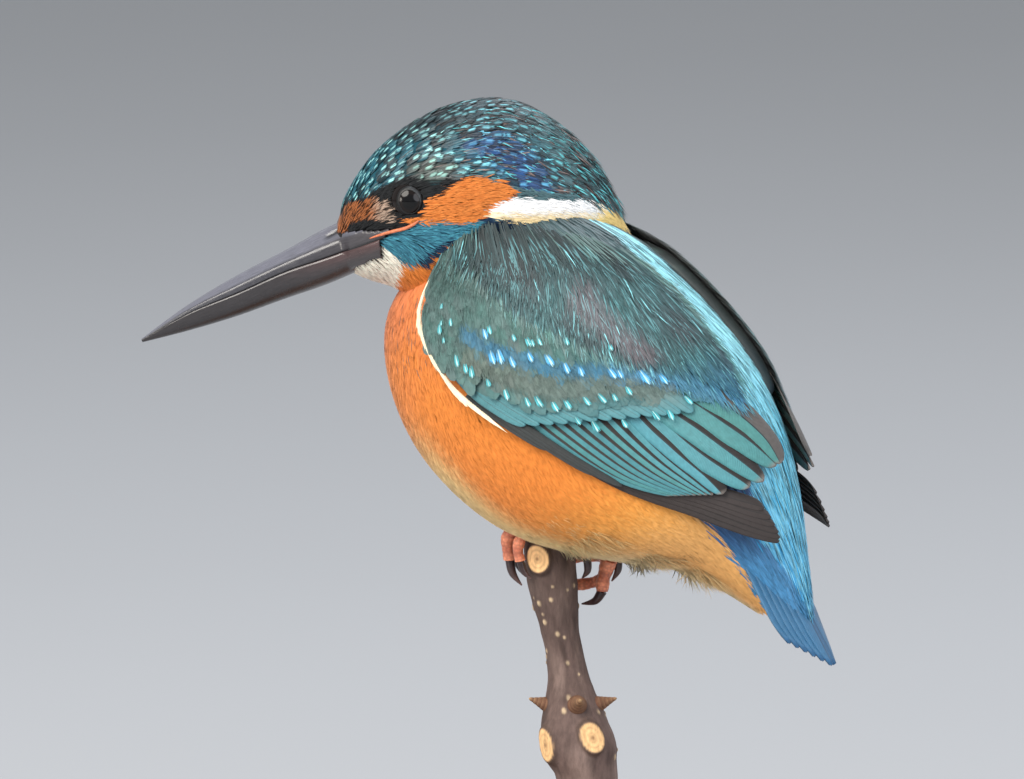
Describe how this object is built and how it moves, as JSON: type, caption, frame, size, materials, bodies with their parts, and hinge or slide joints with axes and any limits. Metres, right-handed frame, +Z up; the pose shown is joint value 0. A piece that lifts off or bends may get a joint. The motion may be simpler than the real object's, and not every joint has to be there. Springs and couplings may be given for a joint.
{
  "type": "common kingfisher",
  "caption": "Life-size adult male common kingfisher in full feather, sitting upright on a cut length of twig held by a plain round stand.",
  "frame": {"origin": "centre of the stand's flat underside", "axes": "+Z up, the body faces -X, the bird's left side is -Y"},
  "size_m": [0.1172, 0.096, 0.1539],
  "materials": {
    "head_feathers": "dark teal feathers with bright blue-green bars",
    "neck_feathers": "white and buff feathers",
    "breast_feathers": "soft orange feathers",
    "rump_feathers": "bright azure feathers",
    "tail_feathers": "deep blue vanes",
    "wing_feathers": "grey-teal feathers with small blue tips",
    "flight_feathers": "dark brown-grey vanes",
    "bill_horn": "dark slate horn with a dull shine",
    "eye": "very dark brown, wet shine",
    "leg_skin": "scaly orange-red skin",
    "claw_horn": "black horn",
    "bark": "smooth brown bark with cream pores and tan leaf scars",
    "stand_metal": "brushed",
    "stand_wood": "dark stained, satin"
  },
  "bodies": {
    "root": {"head": "head_feathers", "neck": "neck_feathers", "trunk": "breast_feathers", "tail_coverts": "rump_feathers", "tail": "tail_feathers", "wing_left_scapulars": "wing_feathers", "wing_left_coverts": "wing_feathers", "wing_left_secondaries": "wing_feathers", "wing_left_primaries": "flight_feathers", "wing_right_scapulars": "wing_feathers", "wing_right_coverts": "wing_feathers", "wing_right_secondaries": "wing_feathers", "wing_right_primaries": "flight_feathers", "bill_upper": "bill_horn", "bill_lower": "bill_horn", "eye_left": "eye", "eye_right": "eye", "leg_left": "leg_skin", "leg_right": "leg_skin", "claw_left_middle": "claw_horn", "claw_left_outer": "claw_horn", "claw_left_inner": "claw_horn", "claw_left_hind": "claw_horn", "claw_right_middle": "claw_horn", "claw_right_outer": "claw_horn", "claw_right_inner": "claw_horn", "claw_right_hind": "claw_horn", "perch": "bark", "stand_rod": "stand_metal", "stand_base": "stand_wood"}
  },
  "joints": []
}
